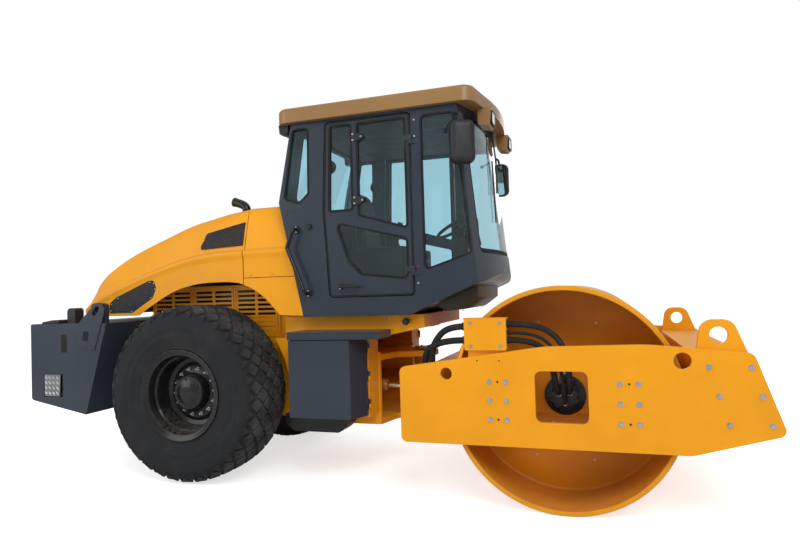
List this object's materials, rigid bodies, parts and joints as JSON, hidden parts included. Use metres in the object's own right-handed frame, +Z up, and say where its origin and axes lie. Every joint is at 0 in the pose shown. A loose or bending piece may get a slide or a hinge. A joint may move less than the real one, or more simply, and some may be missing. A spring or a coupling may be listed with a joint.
{
  "type": "vibratory roller",
  "caption": "Articulated single-drum vibratory roller with a smooth steel drum, closed cab, two driven tyres and a rear engine hood",
  "frame": {"origin": "on the ground under the middle of the machine", "axes": "+X forward, +Y to the left, +Z up"},
  "size_m": [6.1593, 2.3, 3.195],
  "materials": {
    "yellow_paint": "yellow-orange enamel",
    "drum_paint": "yellow-orange enamel on the rolled drum",
    "slate_paint": "dark slate blue-grey enamel",
    "roof_plastic": "tan-orange moulded roof",
    "black_metal": "black enamel",
    "black_mesh": "black perforated sheet",
    "black_plastic": "black moulding",
    "hose_rubber": "ribbed black hose",
    "tyre_rubber": "black rubber",
    "chrome_rod": "hard chromed rod",
    "cab_glass": "pale blue-green tinted glass",
    "seat_fabric": "black seat cloth"
  },
  "bodies": {
    "rear_frame": {"cab_deck": "yellow_paint", "cab_frame": "slate_paint", "cab_roof": "roof_plastic", "cab_side_glass": "cab_glass", "chassis": "yellow_paint", "counterweight": "slate_paint", "engine_block": "black_metal", "grab_rails": "black_metal", "hood_collar": "yellow_paint", "mirror_left": "black_plastic", "mirror_right": "black_plastic", "rear_axle": "yellow_paint", "rear_lamps": "black_plastic", "rear_roof_lamps": "black_plastic", "roof_lamps": "black_plastic", "seat_base": "black_plastic", "seat_cushion": "seat_fabric", "side_frames": "yellow_paint", "side_grilles": "yellow_paint", "steering_column": "black_plastic", "storage_box_left": "slate_paint", "storage_box_right": "slate_paint", "tie_down_lugs": "slate_paint", "under_trays": "black_metal", "windscreen": "cab_glass"},
    "knuckle": {"knuckle": "yellow_paint"},
    "front_frame": {"side_plate_right": "yellow_paint", "side_plate_left": "yellow_paint", "rear_beam": "yellow_paint", "front_beam": "yellow_paint", "lifting_ears": "yellow_paint", "drum_mount_right": "yellow_paint", "drum_mount_left": "yellow_paint", "drum_motor_right": "black_metal", "drum_motor_left": "black_metal", "hose_box": "yellow_paint", "drum_scrapers": "yellow_paint", "drum_hoses": "hose_rubber"},
    "drum": {"drum": "drum_paint"},
    "steer_barrel_right": {"steer_barrel_right": "yellow_paint"},
    "steer_rod_right": {"steer_rod_right": "chrome_rod"},
    "steer_barrel_left": {"steer_barrel_left": "yellow_paint"},
    "steer_rod_left": {"steer_rod_left": "chrome_rod"},
    "wheel_right": {"tyre_right": "tyre_rubber", "rim_right": "black_metal"},
    "wheel_left": {"tyre_left": "tyre_rubber", "rim_left": "black_metal"},
    "hood": {"hood": "yellow_paint", "hood_grilles": "black_mesh", "exhaust": "black_metal"},
    "cab_door_right": {"cab_door_right": "slate_paint", "door_glass_right": "cab_glass"},
    "cab_door_left": {"cab_door_left": "slate_paint", "door_glass_left": "cab_glass"},
    "box_door_right": {"box_door_right": "slate_paint"},
    "box_door_left": {"box_door_left": "slate_paint"}
  },
  "joints": [
    {"name": "steer", "type": "hinge", "parent": "rear_frame", "child": "knuckle", "pos_m": [0.44, 0, 0.75], "axis": [0, 0, 1], "range_deg": [-33, 33]},
    {"name": "oscillate", "type": "hinge", "parent": "knuckle", "child": "front_frame", "pos_m": [0.79, 0, 0.75], "axis": [-1, 0, 0], "range_deg": [-10, 10]},
    {"name": "drum_roll", "type": "hinge", "parent": "front_frame", "child": "drum", "pos_m": [1.75, 0, 0.8], "axis": [0, 1, 0], "continuous": true},
    {"name": "wheel_roll_right", "type": "hinge", "parent": "rear_frame", "child": "wheel_right", "pos_m": [-1.415, -0.839, 0.765], "axis": [0, 1, 0], "continuous": true},
    {"name": "wheel_roll_left", "type": "hinge", "parent": "rear_frame", "child": "wheel_left", "pos_m": [-1.415, 0.839, 0.765], "axis": [0, 1, 0], "continuous": true},
    {"name": "barrel_turn_right", "type": "hinge", "parent": "rear_frame", "child": "steer_barrel_right", "pos_m": [-0.35, -0.36, 0.77], "axis": [0, 0, 1], "range_deg": [-1, 1]},
    {"name": "barrel_turn_left", "type": "hinge", "parent": "rear_frame", "child": "steer_barrel_left", "pos_m": [-0.35, 0.36, 0.77], "axis": [0, 0, 1], "range_deg": [-1, 1]},
    {"name": "rod_slide_right", "type": "slide", "parent": "steer_barrel_right", "child": "steer_rod_right", "axis": [1, 0, 0], "range_m": [-0.1965, 0.1965]},
    {"name": "rod_slide_left", "type": "slide", "parent": "steer_barrel_left", "child": "steer_rod_left", "axis": [-1, 0, 0], "range_m": [-0.1965, 0.1965]},
    {"name": "hood_lift", "type": "hinge", "parent": "rear_frame", "child": "hood", "pos_m": [-2.89, 0, 1.44], "axis": [0, -1, 0], "range_deg": [0, 50]},
    {"name": "cab_door_swing_right", "type": "hinge", "parent": "rear_frame", "child": "cab_door_right", "pos_m": [0.616, -0.794, 2.3], "axis": [0, 0, 1], "range_deg": [0, 85]},
    {"name": "cab_door_swing_left", "type": "hinge", "parent": "rear_frame", "child": "cab_door_left", "pos_m": [0.616, 0.794, 2.3], "axis": [0, 0, 1], "range_deg": [-85, 0]},
    {"name": "box_door_swing_right", "type": "hinge", "parent": "rear_frame", "child": "box_door_right", "pos_m": [0.183, -0.732, 0.9], "axis": [0, 0, 1], "range_deg": [0, 95]},
    {"name": "box_door_swing_left", "type": "hinge", "parent": "rear_frame", "child": "box_door_left", "pos_m": [0.183, 0.732, 0.9], "axis": [0, 0, 1], "range_deg": [-95, 0]}
  ],
  "couplings": [
    {"joint": "rod_slide_right", "follows": "steer", "m_per_rad": 0.3403},
    {"joint": "rod_slide_left", "follows": "steer", "m_per_rad": 0.3403},
    {"joint": "barrel_turn_right", "follows": "steer", "ratio": 0.03},
    {"joint": "barrel_turn_left", "follows": "steer", "ratio": 0.03}
  ]
}
